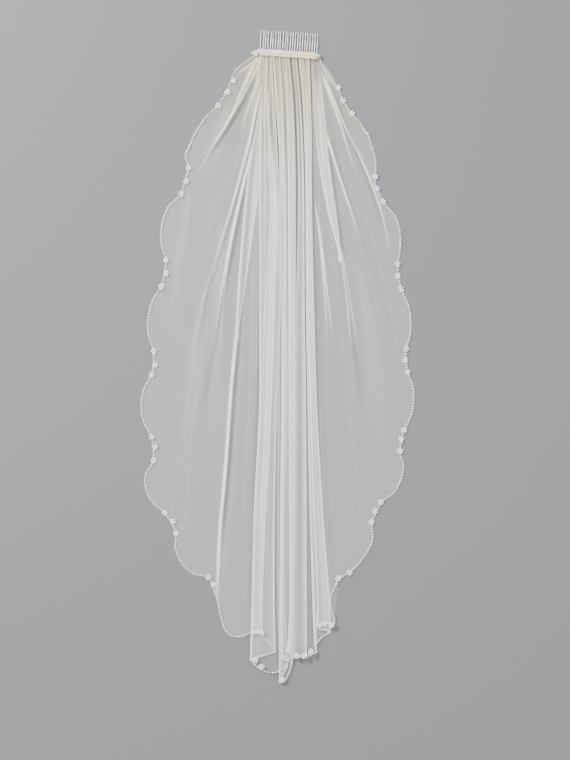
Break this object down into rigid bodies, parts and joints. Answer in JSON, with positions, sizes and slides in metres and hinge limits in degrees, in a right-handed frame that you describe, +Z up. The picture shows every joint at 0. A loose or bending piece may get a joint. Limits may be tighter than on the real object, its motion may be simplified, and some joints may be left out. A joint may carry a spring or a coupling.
{
  "type": "bridal veil",
  "caption": "Single-tier ivory tulle bridal veil with a scalloped bead edge and bead flowers, gathered on a ribbon-bound wire comb and laid out flat.",
  "frame": {"origin": "middle of the bounding box of the laid veil, at the surface that it lies on", "axes": "+Y from the hem to the comb's teeth, +X to the right as seen from above, +Z up out of the cloth"},
  "size_m": [0.4014, 0.9568, 0.0128],
  "materials": {
    "tulle": "sheer",
    "ribbon": "satin",
    "comb_metal": "polished",
    "bead": "polished"
  },
  "bodies": {
    "root": {"tulle_left_spread": "tulle", "tulle_centre_pleats": "tulle", "tulle_right_spread": "tulle", "binding_back": "ribbon", "binding_front": "ribbon", "binding_lip": "ribbon", "comb_wire": "comb_metal", "comb_spine": "comb_metal", "flowers_left_1": "bead", "flowers_left_2": "bead", "flowers_left_3": "bead", "flowers_left_4": "bead", "flowers_left_5": "bead", "flowers_left_6": "bead", "flowers_left_7": "bead", "flowers_right_1": "bead", "flowers_right_2": "bead", "flowers_right_3": "bead", "flowers_right_4": "bead", "flowers_right_5": "bead", "flowers_right_6": "bead", "flowers_right_7": "bead", "flowers_hem_1": "bead", "flowers_hem_2": "bead", "flowers_hem_3": "bead", "flowers_hem_4": "bead"}
  },
  "joints": []
}
